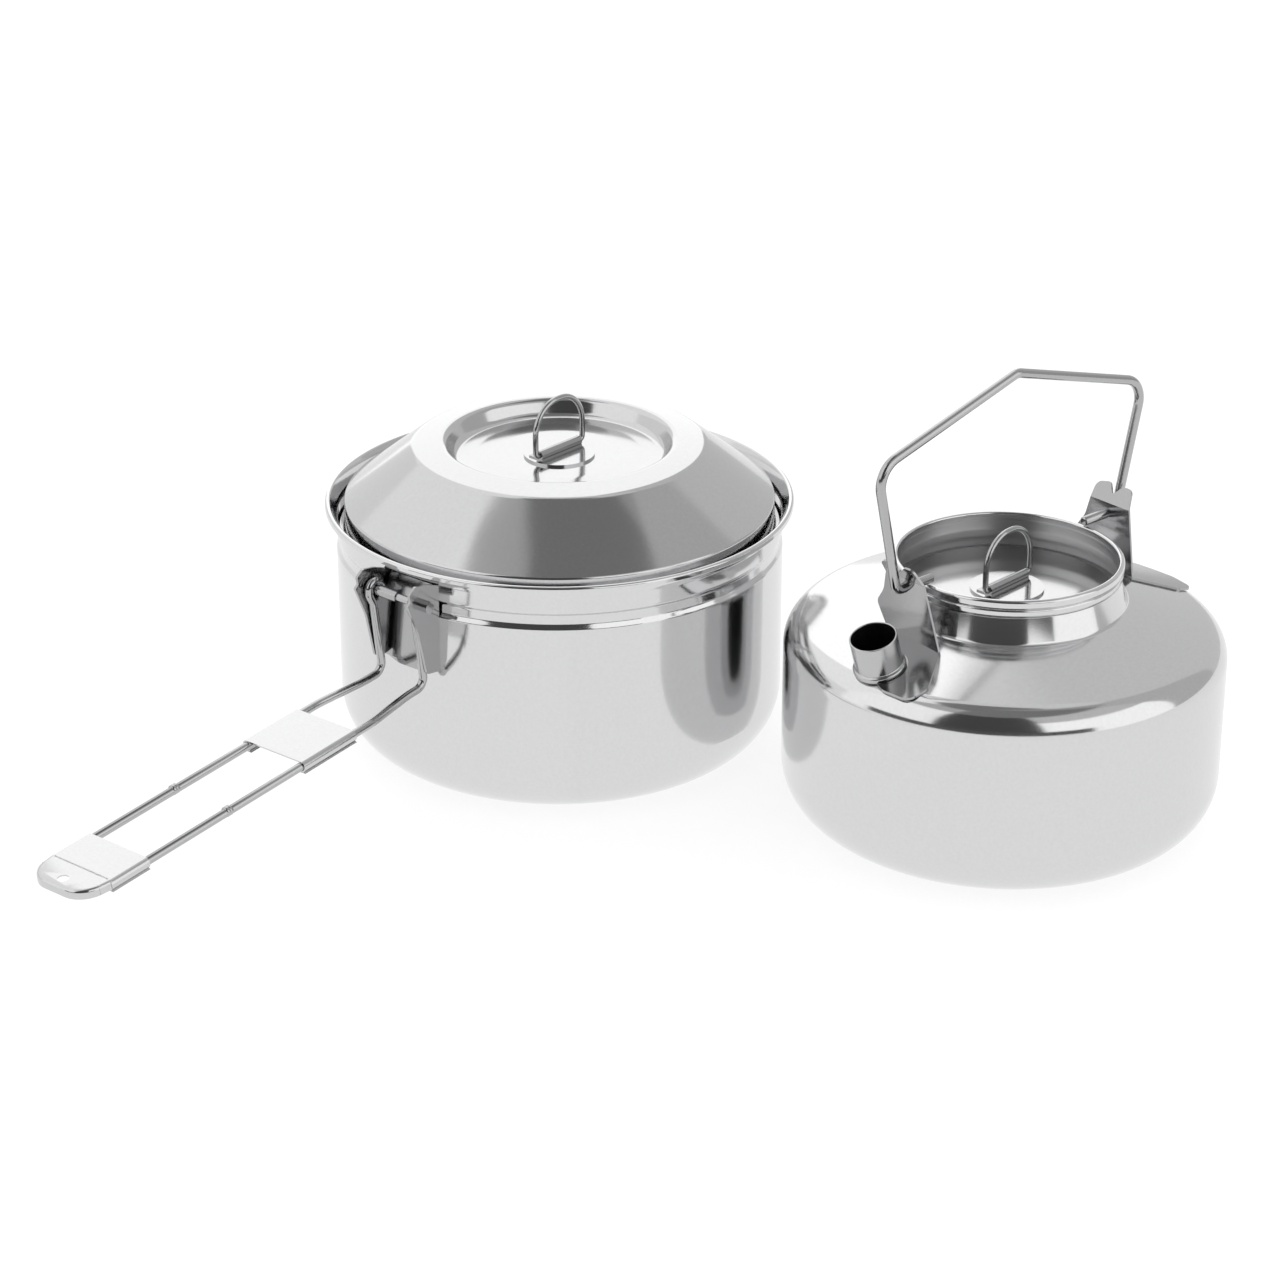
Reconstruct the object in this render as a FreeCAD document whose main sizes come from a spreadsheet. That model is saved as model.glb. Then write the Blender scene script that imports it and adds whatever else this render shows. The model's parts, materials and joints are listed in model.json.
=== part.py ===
"""Camping cook pot set: a stainless pot with a folding wire handle and a lid, and a stainless
kettle with a swinging bail, a short spout and an inner lid.  The kettle stands beside the pot.

Millimetres.  +Z is up.  The origin is the middle of the pot's base.  The pot handle points to -X.
The kettle is built about its own axis, with its bail pins along its own X, and is then placed.
"""
import FreeCAD
import Part
import Sketcher
import math
import os
import re

Vector = FreeCAD.Vector
Rotation = FreeCAD.Rotation
Placement = FreeCAD.Placement

doc = FreeCAD.newDocument("CookSet")

# ---------------------------------------------------------------- driving dimensions

SIZES = [
    # pot
    ("pot_radius", 80.5, "outside of the pot wall"),
    ("pot_wall", 0.6, "sheet thickness of the pot"),
    ("pot_corner", 20.5, "outside radius between base and wall"),
    ("groove_low", 74.8, "lower edge of the rolled groove"),
    ("groove_high", 81.2, "upper edge of the rolled groove"),
    ("groove_depth", 1.0, "how far the groove is rolled in"),
    ("groove_round", 1.5, "bends of the groove"),
    ("flare_low", 87.4, "height where the wall flares out to the rim"),
    ("rim_radius", 84.3, "outside of the rolled rim"),
    ("rim_top", 92.1, "top of the rolled rim"),
    ("rim_roll", 1.0, "outside radius of the rolled edge"),
    # pot lid
    ("lid_wall", 0.5, "sheet thickness of both lids"),
    ("lid_floor", 107.5, "height of the recessed middle of the pot lid"),
    ("lid_recess", 37.6, "radius of the recess floor"),
    ("lid_recess_round", 3.5, "bend between the recess floor and its wall"),
    ("lid_crest", 41.0, "radius of the crest round the recess"),
    ("lid_crest_round", 3.0, "bend between the recess wall and the crest"),
    ("lid_top", 113.9, "height of the crest at the recess"),
    ("lid_shoulder", 52.5, "radius where the crest turns into the cone"),
    ("lid_shoulder_height", 112.1, "height of the crest at the cone"),
    ("lid_shoulder_round", 5.0, "bend between crest and cone"),
    ("lid_edge", 77.4, "radius of the lid's visible edge"),
    ("lid_edge_height", 91.9, "height of the lid's visible edge"),
    ("lid_flange", 79.3, "radius of the flange that rests on the groove"),
    ("lid_flange_height", 81.8, "top of that flange"),
    ("pot_lid_turn", -2.8, "the pot lid's turn about Z, degrees"),
    # lid rings
    ("ring_wire", 1.0, "radius of the ring wire"),
    ("ring_half", 12.2, "half width of the D-ring"),
    ("ring_rise", 20.0, "height of the D-ring over its pivot"),
    ("ring_plate", 12.8, "radius of the round plate under a ring"),
    ("ring_plate_thick", 0.8, "thickness of that plate"),
    ("clip_half", 10.4, "half length of the curled clip"),
    ("clip_wall", 0.6, "sheet thickness of the clip"),
    ("ring_lift", 1.65, "pivot height over the plate"),
    ("running_gap", 0.05, "radial clearance of a pin in its hole"),
    # pot handle bracket
    ("bracket_half", 12.6, "half width over the bracket's wings"),
    ("bracket_sheet", 1.0, "sheet thickness of the bracket"),
    ("bracket_low", 53.0, "lowest point of the bracket plate"),
    ("bracket_high", 86.8, "top of the bracket plate"),
    ("pivot_out", 87.5, "distance of the hinge pin from the pot's axis"),
    ("pivot_height", 82.0, "height of the hinge pin"),
    ("pin_radius", 1.4, "hinge pin"),
    ("pin_head_radius", 2.1, "head of the hinge pin"),
    ("pin_head_long", 3.2, "length of that head"),
    ("spacer_radius", 1.95, "outside of the spacer sleeve on the pin"),
    # pot handle
    ("wire_radius", 1.5, "handle wire"),
    ("leg_spread", 9.8, "half distance of the wires at the hinge"),
    ("arm_spread", 12.4, "half distance of the wires along the grip"),
    ("elbow_out", 84.9, "distance of the elbows from the pot's axis"),
    ("elbow_height", 50.1, "height of the elbows"),
    ("elbow_bend", 4.0, "bend radius at the elbows"),
    ("arm_drop", 4.8, "slope of the arms, degrees below level"),
    ("arm_spread_at", 33.0, "distance from the elbow where the wires run parallel"),
    ("arm_end", 152.6, "distance from the elbow to the wire ends"),
    ("stop_at", 98.9, "distance from the elbow to the stop crimps"),
    ("stop_radius", 1.95, "radius of the stop crimps"),
    ("stop_long", 1.4, "length of the stop crimps"),
    ("slider_at", 39.5, "distance from the elbow to the slider"),
    ("slider_long", 25.4, "length of the slider"),
    ("roll_sheet", 0.5, "sheet thickness of slider and grip"),
    ("grip_at", 136.5, "distance from the elbow to the grip's sleeves"),
    ("grip_sleeve", 16.6, "length of the grip's sleeves"),
    ("grip_tip", 165.0, "distance from the elbow to the grip's tip"),
    ("grip_half", 14.3, "half width of the grip's nose"),
    ("grip_lip", 2.4, "depth of the nose's turned-down lip"),
    ("hang_hole_at", 160.6, "distance from the elbow to the hanging hole"),
    ("hang_hole", 2.0, "radius of the hanging hole"),
    # kettle
    ("kettle_x", 46.0, "kettle axis"),
    ("kettle_y", -162.0, "kettle axis"),
    ("kettle_turn", -10.3, "turn of the bail pins from X, degrees"),
    ("kettle_radius", 76.45, "outside of the kettle wall"),
    ("kettle_corner", 20.5, "outside radius between base and wall"),
    ("kettle_wall", 0.6, "sheet thickness of the kettle"),
    ("cone_radius", 45.0, "a radius on the sloping shoulder"),
    ("cone_height", 80.4, "the shoulder's height at that radius"),
    ("cone_slope", 0.313, "fall of the shoulder per millimetre of radius"),
    ("shoulder_round", 11.0, "bend between shoulder and wall"),
    ("neck_foot", 41.6, "outside of the neck where it meets the shoulder"),
    ("neck_foot_round", 2.0, "bend between neck and shoulder"),
    ("neck_radius", 38.5, "outside of the neck under its bead"),
    ("neck_bead", 0.9, "how far the neck's bead stands out"),
    ("neck_bead_low", 90.5, "lower edge of the neck's bead"),
    ("neck_rim", 1.2, "how far the neck's rolled rim stands out"),
    ("neck_rim_low", 93.5, "lower edge of the rolled rim"),
    ("neck_top", 96.8, "top of the rolled rim"),
    ("neck_roll", 1.1, "bends of the bead and the rolled rim"),
    ("seat_radius", 34.6, "inside of the ledge that the inner lid rests on"),
    ("seat_height", 83.6, "top of that ledge"),
    ("kettle_lid_radius", 37.0, "outside of the inner lid"),
    ("kettle_lid_top", 84.3, "top of the inner lid"),
    ("kettle_lid_turn", -4.4, "the inner lid's turn about Z, degrees"),
    # spout
    ("spout_at", 63.7, "distance of the spout from the kettle's axis"),
    ("spout_turn", 182.9, "bearing of the spout about the kettle's axis, degrees"),
    ("spout_radius", 8.1, "outside of the spout"),
    ("spout_wall", 0.6, "sheet thickness of the spout"),
    ("spout_long", 13.4, "height of the spout over the shoulder"),
    ("spout_under", 2.0, "how far the spout reaches under the shoulder"),
    ("spout_bead", 0.9, "how far the bead at the spout's foot stands out"),
    ("spout_bead_at", 2.4, "height of that bead over the shoulder"),
    ("spout_room", 9.6, "radius that the bracket's foot leaves free round the spout"),
    # bail and its brackets
    ("bail_radius", 1.7, "bail wire"),
    ("bail_height", 98.85, "height of the bail pins"),
    ("bail_pin_end", 37.8, "distance from the axis to the pins' inner ends"),
    ("bail_foot", 54.0, "half width of the bail at its pins"),
    ("bail_side", 64.4, "half width of the bail at its shoulders"),
    ("bail_side_height", 144.4, "height of the bail's shoulders"),
    ("bail_peak", 162.9, "height of the bail's middle"),
    ("ear_sheet", 0.8, "sheet thickness of the bail brackets"),
    ("ear_out", 47.4, "distance of a bail bracket from the axis, at its lower fold"),
    ("ear_low", 79.4, "height of that fold"),
    ("ear_lean", 6.4, "outward lean of the upright, degrees"),
    ("ear_tall", 23.4, "height of the upright along its face, up to its upper fold"),
    ("ear_right", -9.4, "one end of the upper fold, from the pin's plane"),
    ("ear_left", 8.3, "other end of the upper fold"),
    ("flap_lean", 31.0, "outward lean of the notched flap, degrees"),
    ("flap_tall", 7.2, "reach of the flap's two lobes"),
]

sheet = doc.addObject("Spreadsheet::Sheet", "Sizes")
for row, (alias, number, note) in enumerate(SIZES, start=1):
    sheet.set(f"A{row}", alias)
    sheet.set(f"B{row}", str(number))
    sheet.set(f"C{row}", note)
    sheet.setAlias(f"B{row}", alias)
doc.recompute()
ALIASES = {alias for alias, number, note in SIZES}
SIZE = {alias: float(sheet.get(alias)) for alias in ALIASES}


def qualified(text):
    """The expression with each alias written as a reference to the sheet."""
    return re.sub(r"[a-z_]+", lambda m: "Sizes." + m[0] if m[0] in ALIASES else m[0], text)


def value(text):
    """What an expression over the sheet comes to now."""
    return float(sheet.evalExpression(qualified(text)))


def bind(obj, prop, text):
    """Let an expression over the sheet drive a property."""
    obj.setExpression(prop, qualified(text))


# ---------------------------------------------------------------- sketches

LEVEL = Placement()
# sketch x is the distance from the axis, sketch y is the height
UPRIGHT = Placement(Vector(), Rotation(Vector(1, 0, 0), 90))


def sketch_on(placement, name):
    sketch = doc.addObject("Sketcher::SketchObject", name)
    sketch.Placement = placement
    return sketch


def body_sketch(body, role, name):
    """A sketch attached to one of the body's own origin planes."""
    sketch = body.newObject("Sketcher::SketchObject", name)
    plane = [f for f in body.Origin.OriginFeatures if f.Role == role][0]
    sketch.AttachmentSupport = (plane, "")
    sketch.MapMode = "FlatFace"
    return sketch


def outline(sketch, corners, closed=True):
    """Straight runs through the corners, with a tangent arc at each corner that has a radius.

    A corner is (x, y) or (x, y, radius), each an expression over the sheet, and its constraints
    are bound to those expressions.
    """
    spots = [Vector(value(c[0]), value(c[1]), 0) for c in corners]
    radii = [value(c[2]) if len(c) > 2 else 0.0 for c in corners]
    count = len(corners)
    runs = count if closed else count - 1
    entry = list(spots)
    leave = list(spots)
    arcs = {}
    for i in range(count):
        if not radii[i]:
            continue
        back = (spots[i - 1] - spots[i]).normalize()
        ahead = (spots[(i + 1) % count] - spots[i]).normalize()
        half = back.getAngle(ahead) / 2
        entry[i] = spots[i] + back * (radii[i] / math.tan(half))
        leave[i] = spots[i] + ahead * (radii[i] / math.tan(half))
        centre = spots[i] + (back + ahead).normalize() * (radii[i] / math.sin(half))
        left_turn = back.cross(ahead).z < 0
        first, last = (entry[i], leave[i]) if left_turn else (leave[i], entry[i])
        angles = [math.atan2((p - centre).y, (p - centre).x) for p in (first, last)]
        circle = Part.Circle(centre, Vector(0, 0, 1), radii[i])
        arcs[i] = (Part.ArcOfCircle(circle, angles[0], angles[1]), left_turn)

    lines = {}
    for i in range(runs):
        line = Part.LineSegment(leave[i], entry[(i + 1) % count])
        lines[i] = sketch.addGeometry(line, False)
    constraints = []
    drivers = []

    def pin(geometry, point, corner):
        for axis, text in (("DistanceX", corner[0]), ("DistanceY", corner[1])):
            drivers.append((len(constraints), text))
            constraints.append(Sketcher.Constraint(axis, -1, 1, geometry, point, value(text)))

    for i, corner in enumerate(corners):
        before = lines.get(i - 1 if i or not closed else runs - 1)
        after = lines.get(i)
        if i in arcs:
            shape, left_turn = arcs[i]
            arc = sketch.addGeometry(shape, False)
            spot = sketch.addGeometry(Part.Point(spots[i]), True)
            enter, exit_ = (1, 2) if left_turn else (2, 1)
            constraints.append(Sketcher.Constraint("Tangent", before, 2, arc, enter))
            constraints.append(Sketcher.Constraint("Tangent", after, 1, arc, exit_))
            constraints.append(Sketcher.Constraint("PointOnObject", spot, 1, before))
            constraints.append(Sketcher.Constraint("PointOnObject", spot, 1, after))
            drivers.append((len(constraints), corner[2]))
            constraints.append(Sketcher.Constraint("Radius", arc, radii[i]))
            pin(spot, 1, corner)
        elif before is None:
            pin(after, 1, corner)
        elif after is None:
            pin(before, 2, corner)
        else:
            constraints.append(Sketcher.Constraint("Coincident", before, 2, after, 1))
            pin(after, 1, corner)
    sketch.addConstraint(constraints)
    for index, text in drivers:
        if re.search("[a-z]", text):
            sketch.setExpression(f"Constraints[{index}]", qualified(text))
    return sketch


# ---------------------------------------------------------------- solids

def feature(kind, name, **properties):
    obj = doc.addObject(kind, name)
    for key, item in properties.items():
        setattr(obj, key, item)
    return obj


def skin(sketch, thickness, name):
    """A face between an open outline and its own offset: the section of a bent or spun sheet."""
    face = feature("Part::Offset2D", name + "_section", Source=sketch, Fill=True)
    face.Mode = "Skin"
    face.Join = 0
    bind(face, "Value", thickness)
    return face


def spun(face, name):
    """A section turned once round the Z axis."""
    return feature("Part::Revolution", name, Source=face, Axis=Vector(0, 0, 1), Angle=360, Solid=True)


def spun_sheet(name, corners, thickness):
    """A spun or pressed shell from its outline."""
    sketch = outline(sketch_on(UPRIGHT, name + "_profile"), corners, closed=False)
    return spun(skin(sketch, thickness, name), name)


def extruded(face, direction, length, name, symmetric=False):
    solid = feature("Part::Extrusion", name, Base=face, DirMode="Custom", Dir=direction)
    solid.Solid = True
    solid.Symmetric = symmetric
    bind(solid, "LengthFwd", length)
    return solid


def cut(base, tool, name):
    return feature("Part::Cut", name, Base=base, Tool=tool)


def fused(parts, name):
    return feature("Part::MultiFuse", name, Shapes=parts, Refine=False)


def common(parts, name):
    return feature("Part::MultiCommon", name, Shapes=parts)


def turned(name, corners):
    """A PartDesign body turned from a closed half section about Z."""
    body = doc.addObject("PartDesign::Body", name)
    sketch = outline(body_sketch(body, "XZ_Plane", name + "_section"), corners)
    revolution = body.newObject("PartDesign::Revolution", name + "_turn")
    revolution.Profile = sketch
    revolution.ReferenceAxis = (sketch, ["V_Axis"])
    revolution.Angle = 360
    body.Tip = revolution
    return body


def drawn_wire(sketch, start, direction, radius, name):
    """A round wire along an open sketch that starts at start and runs off in direction."""
    section = feature("Part::Circle", name + "_round")
    bind(section, "Radius", radius)
    section.Placement = Placement(start, Rotation(Vector(0, 0, 1), direction))
    sweep = feature("Part::Sweep", name, Sections=[section], Solid=True)
    sweep.Spine = (sketch, [])
    sweep.Transition = "Transformed"
    return sweep


NODES = []


def node(obj, label, placement=LEVEL):
    """Name a finished sub-part and put it in its place."""
    obj.Label = label
    obj.Placement = placement
    NODES.append(obj)
    return obj


def place_about_z(x, y, degrees):
    return Placement(Vector(x, y, 0), Rotation(Vector(0, 0, 1), degrees))


KETTLE = place_about_z(SIZE["kettle_x"], SIZE["kettle_y"], SIZE["kettle_turn"])
POT_LID = place_about_z(0, 0, SIZE["pot_lid_turn"])
KETTLE_LID = place_about_z(SIZE["kettle_x"], SIZE["kettle_y"], SIZE["kettle_lid_turn"])

# ---------------------------------------------------------------- pot


def make_pot():
    """A deep-drawn pot: rounded base corner, rolled groove, flared and rolled rim."""
    corners = [
        ("0", "0"),
        ("pot_radius", "0", "pot_corner"),
        ("pot_radius", "groove_low", "groove_round"),
        ("pot_radius - groove_depth", "groove_low + 1.6", "groove_round"),
        ("pot_radius - groove_depth", "groove_high - 1.6", "groove_round"),
        ("pot_radius", "groove_high", "groove_round"),
        ("pot_radius", "flare_low", "4"),
        ("rim_radius - pot_wall", "rim_top + 0.62", "rim_roll - pot_wall"),
        ("rim_radius - pot_wall", "rim_top - 1.9"),
    ]
    return node(spun_sheet("pot_shell", corners, "pot_wall"), "pot_body")


def wing_face(name):
    """The side view of a bracket wing."""
    corners = [
        ("1 - pot_radius", "bracket_high"),
        ("-85.4", "bracket_high + 2.2", "2"),
        ("-91.2", "bracket_high + 3.2", "1.5"),
        ("-94.2", "bracket_high + 1", "1"),
        ("-93.6", "bracket_high - 1.6", "0.4"),
        ("-95.2", "bracket_high - 2.8", "0.6"),
        ("-90.1", "72.4", "20"),
        ("-86.3", "55.6", "1.5"),
        ("1 - pot_radius", "bracket_low + 1.5"),
    ]
    return outline(sketch_on(UPRIGHT, name), corners)


def make_bracket():
    """The channel that carries the hinge: a back plate on the pot wall and two wings."""
    wings = extruded(wing_face("wing_outline"), Vector(0, 1, 0), "2 * bracket_half", "wings_block", True)
    inside = feature("Part::Box", "wings_inside")
    bind(inside, "Length", "20")
    bind(inside, "Width", "2 * (bracket_half - bracket_sheet)")
    bind(inside, "Height", "60")
    bind(inside, "Placement.Base.x", "-pot_radius - 20 - bracket_sheet")
    bind(inside, "Placement.Base.y", "bracket_sheet - bracket_half")
    bind(inside, "Placement.Base.z", "bracket_low - 10")
    wings = cut(wings, inside, "wings")

    back_corners = [
        ("bracket_half", "bracket_high"),
        ("-bracket_half", "bracket_high"),
        ("-bracket_half", "bracket_low + 2"),
        ("-bracket_half + 7", "bracket_low", "6"),
        ("bracket_half - 7", "bracket_low", "6"),
        ("bracket_half", "bracket_low + 2"),
    ]
    facing = Placement(Vector(), Rotation(Vector(0, -1, 0), Vector(0, 0, 1), Vector(-1, 0, 0), "ZXY"))
    back = outline(sketch_on(facing, "back_outline"), back_corners)
    back = extruded(back, Vector(-1, 0, 0), "pot_radius + 8", "back_block")
    tube = feature("Part::Cylinder", "back_skin", Height=120)
    bind(tube, "Radius", "pot_radius + bracket_sheet")
    back = common([back, tube], "back_plate")
    wall = feature("Part::Cylinder", "pot_room", Height=120)
    bind(wall, "Radius", "pot_radius")
    pin_hole = on_hinge("pin_hole", "pin_radius", "-20", "40")
    tools = fused([wall, pin_hole], "bracket_tools")
    return node(cut(fused([wings, back], "bracket_sheets"), tools, "bracket"), "handle_bracket")


def on_hinge(name, radius, start, length):
    """A cylinder on the hinge's axis that runs along Y from start."""
    rod = feature("Part::Cylinder", name)
    bind(rod, "Radius", radius)
    bind(rod, "Height", length)
    rod.Placement = Placement(Vector(), Rotation(Vector(1, 0, 0), -90))
    bind(rod, "Placement.Base.x", "-pivot_out")
    bind(rod, "Placement.Base.y", start)
    bind(rod, "Placement.Base.z", "pivot_height")
    return rod


def make_pin():
    """The hinge pin, headed on one side and riveted over on the other."""
    shank = on_hinge("pin_shank", "pin_radius", "-bracket_half - 1", "2 * bracket_half + 2")
    head = on_hinge("pin_head", "pin_head_radius", "-bracket_half - pin_head_long", "pin_head_long")
    rivet = on_hinge("pin_rivet", "pin_head_radius - 0.2", "bracket_half", "1")
    return node(fused([shank, head, rivet], "pin"), "hinge_pin")


def make_spacer():
    """The sleeve on the pin that keeps the left wire at its wing."""
    tube = on_hinge("spacer_outside", "spacer_radius", "-1", "leg_spread - wire_radius + 0.7")
    bore = on_hinge("spacer_bore", "pin_radius", "-2", "20")
    return node(cut(tube, bore, "spacer"), "hinge_spacer")


# ---------------------------------------------------------------- handle

ARM = Placement(
    Vector(-SIZE["elbow_out"], 0, SIZE["elbow_height"]),
    Rotation(Vector(0, 0, 1), 180) * Rotation(Vector(0, 1, 0), SIZE["arm_drop"]),
)


def make_wire(label, side):
    """One handle wire: an eye round the pin, a leg down to the elbow, then the arm outward."""
    reach = "(pin_radius + running_gap + wire_radius)"
    far = f"-pivot_out - {reach}"
    near = f"-pivot_out + {reach}"
    over = f"pivot_height + {reach}"
    corners = [
        ("-elbow_out - 6 * cos(arm_drop)", "elbow_height - 6 * sin(arm_drop)"),
        ("-elbow_out", "elbow_height", "elbow_bend"),
        ("-pivot_out - 1.1", "pivot_height - 5", "3"),
        (far, "pivot_height - 1.6", "3"),
        (far, over, "2.75"),
        (near, over, "2.75"),
        (near, f"pivot_height - {reach}", "2.75"),
        ("-pivot_out + 0.4", f"pivot_height - {reach}"),
    ]
    plane = Placement(Vector(0, side * SIZE["leg_spread"], 0), UPRIGHT.Rotation)
    path = outline(sketch_on(plane, label + "_leg_path"), corners, closed=False)
    start = Vector(value(corners[0][0]), side * SIZE["leg_spread"], value(corners[0][1]))
    along = ARM.Rotation.multVec(Vector(1, 0, 0))
    leg = drawn_wire(path, start, along, "wire_radius", label + "_leg")

    turn = -side
    arm_corners = [
        ("6", f"{turn} * leg_spread"),
        ("9", f"{turn} * leg_spread", "40"),
        ("arm_spread_at - 3", f"{turn} * arm_spread", "40"),
        ("arm_end", f"{turn} * arm_spread"),
    ]
    arm_path = outline(sketch_on(ARM, label + "_arm_path"), arm_corners, closed=False)
    arm_start = ARM.multVec(Vector(6, turn * SIZE["leg_spread"], 0))
    arm = drawn_wire(arm_path, arm_start, along, "wire_radius", label + "_arm")
    stop = feature("Part::Cylinder", label + "_stop")
    bind(stop, "Radius", "stop_radius")
    bind(stop, "Height", "stop_long")
    stop_spot = ARM.multVec(Vector(SIZE["stop_at"], turn * SIZE["arm_spread"], 0))
    stop.Placement = Placement(stop_spot, Rotation(Vector(0, 0, 1), along))
    return node(fused([leg, arm, stop], label + "_wire"), label)


def sleeves(name, start, length, bore):
    """A flat plate whose two long edges are rolled round the handle wires, in the arm's own frame."""
    outer = []
    holes = []
    for side, tag in ((1, "a"), (-1, "b")):
        for made, radius, extra in ((outer, f"{bore} + roll_sheet", 0), (holes, bore, 2)):
            rod = feature("Part::Cylinder", f"{name}_{tag}_{extra}")
            bind(rod, "Radius", radius)
            bind(rod, "Height", f"{length} + 2 * {extra}")
            rod.Placement = Placement(Vector(), Rotation(Vector(0, 1, 0), 90))
            bind(rod, "Placement.Base.x", f"{start} - {extra}")
            bind(rod, "Placement.Base.y", f"{side} * arm_spread")
            made.append(rod)
    plate = feature("Part::Box", name + "_plate")
    bind(plate, "Length", length)
    bind(plate, "Width", "2 * arm_spread")
    bind(plate, "Height", "roll_sheet")
    bind(plate, "Placement.Base.x", start)
    bind(plate, "Placement.Base.y", "-arm_spread")
    bind(plate, "Placement.Base.z", bore)
    return outer + [plate], holes


def make_slider():
    """The sheet slider that runs along both wires and holds the handle open."""
    solids, holes = sleeves("slider", "slider_at", "slider_long", "wire_radius + running_gap")
    slider = cut(fused(solids, "slider_sheet"), fused(holes, "slider_bores"), "slider")
    return node(slider, "lock_slider", ARM)


def make_grip():
    """The sheet grip: sleeves rolled round the wire ends and a rounded nose with a hanging hole."""
    solids, holes = sleeves("grip", "grip_at", "grip_sleeve", "wire_radius")
    start = "grip_at + grip_sleeve - 0.5"
    nose_corners = [
        (start, "-grip_half"),
        ("grip_tip", "-grip_half + 1.6", "9"),
        ("grip_tip", "grip_half - 1.6", "9"),
        (start, "grip_half"),
    ]
    top = Placement(Vector(0, 0, SIZE["wire_radius"]), Rotation())
    nose = outline(sketch_on(top, "nose_outline"), nose_corners)
    nose = extruded(nose, Vector(0, 0, 1), "roll_sheet", "nose")
    edge = outline(sketch_on(top, "nose_edge"), nose_corners, closed=False)
    lip = skin(edge, "-roll_sheet", "nose_lip")
    lip = extruded(lip, Vector(0, 0, -1), "grip_lip", "nose_lip")
    hole = feature("Part::Cylinder", "hang_hole")
    bind(hole, "Radius", "hang_hole")
    bind(hole, "Height", "6")
    bind(hole, "Placement.Base.x", "hang_hole_at")
    solids += [nose, lip]
    holes.append(hole)
    return node(cut(fused(solids, "grip_sheet"), fused(holes, "grip_bores"), "grip"), "handle_grip", ARM)


# ---------------------------------------------------------------- lids


def make_pot_lid():
    """A domed lid with a recessed middle, a short skirt and the flange it rests on."""
    corners = [
        ("0", "lid_floor"),
        ("lid_recess", "lid_floor", "lid_recess_round"),
        ("lid_crest", "lid_top", "lid_crest_round"),
        ("lid_shoulder", "lid_shoulder_height", "lid_shoulder_round"),
        ("lid_edge", "lid_edge_height + 0.6", "1.3"),
        ("lid_edge", "lid_flange_height", "0.9"),
        ("lid_flange", "lid_flange_height"),
    ]
    return node(spun_sheet("pot_lid_shell", corners, "-lid_wall"), "pot_lid", POT_LID)


def make_kettle_lid():
    """A flat inner lid."""
    disc = feature("Part::Cylinder", "kettle_lid_disc")
    bind(disc, "Radius", "kettle_lid_radius")
    bind(disc, "Height", "lid_wall")
    bind(disc, "Placement.Base.z", "kettle_lid_top - lid_wall")
    return node(disc, "kettle_lid", KETTLE_LID)


def make_ring(prefix, placement, floor):
    """A round plate, the curled clip on it and the D-ring that swings in the clip."""
    plate = feature("Part::Cylinder", prefix + "_plate_disc")
    bind(plate, "Radius", "ring_plate")
    bind(plate, "Height", "ring_plate_thick")
    seat = Placement(Vector(0, 0, floor), Rotation())
    node(plate, prefix + "_ring_plate", placement * seat)

    pivot = "ring_plate_thick + ring_lift"
    foot = feature("Part::Box", prefix + "_clip_foot")
    bind(foot, "Length", "2 * clip_half")
    bind(foot, "Width", "6.5")
    bind(foot, "Height", "clip_wall - 0.1")
    bind(foot, "Placement.Base.x", "-clip_half")
    bind(foot, "Placement.Base.y", "-1.5")
    bind(foot, "Placement.Base.z", "ring_plate_thick")
    curl = along_x(prefix + "_clip_curl", "ring_lift", "-clip_half", "2 * clip_half", "0", pivot)
    bore = along_x(prefix + "_clip_bore", "ring_wire + running_gap", "-20", "40", "0", pivot)
    clip = cut(fused([foot, curl], prefix + "_clip_sheet"), bore, prefix + "_clip")
    node(clip, prefix + "_ring_clip", placement * seat)

    high = f"{pivot} + ring_rise - ring_wire"
    corners = [
        ("0", pivot),
        ("ring_half", pivot, "1.6"),
        ("ring_half", high, "ring_half - 0.6"),
        ("-ring_half", high, "ring_half - 0.6"),
        ("-ring_half", pivot, "1.6"),
    ]
    path = outline(sketch_on(UPRIGHT, prefix + "_ring_path"), corners)
    start = Vector(0, 0, value(pivot))
    ring = drawn_wire(path, start, Vector(1, 0, 0), "ring_wire", prefix + "_ring_wire")
    node(ring, prefix + "_ring", placement * seat)


def along_x(name, radius, start, length, y, z):
    """A cylinder that runs along X from start."""
    rod = feature("Part::Cylinder", name)
    bind(rod, "Radius", radius)
    bind(rod, "Height", length)
    rod.Placement = Placement(Vector(), Rotation(Vector(0, 1, 0), 90))
    bind(rod, "Placement.Base.x", start)
    bind(rod, "Placement.Base.y", y)
    bind(rod, "Placement.Base.z", z)
    return rod


# ---------------------------------------------------------------- kettle

SHOULDER_EDGE = "cone_height - cone_slope * (kettle_radius - cone_radius)"
NECK_FOOT = "cone_height + cone_slope * (cone_radius - neck_foot)"
SPOUT_FOOT = "cone_height + cone_slope * (cone_radius - spout_at)"
SPOUT_BEARING = math.radians(SIZE["spout_turn"])
SPOUT_SPOT = Vector(math.cos(SPOUT_BEARING), math.sin(SPOUT_BEARING), 0) * SIZE["spout_at"]
SPOUT = Placement(
    SPOUT_SPOT + Vector(0, 0, value(SPOUT_FOOT)),
    Rotation(Vector(0, 0, 1), SIZE["spout_turn"])
    * Rotation(Vector(0, 1, 0), math.degrees(math.atan(SIZE["cone_slope"]))),
)


def spout_hole(name):
    """The round hole that the spout stands in."""
    hole = feature("Part::Cylinder", name, Height=24)
    bind(hole, "Radius", "spout_radius")
    hole.Placement = SPOUT * Placement(Vector(0, 0, -12), Rotation())
    return hole


def ring(name, corners):
    """A closed (radius, height) section turned once round the Z axis."""
    return spun(outline(sketch_on(UPRIGHT, name + "_section"), corners), name)


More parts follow.
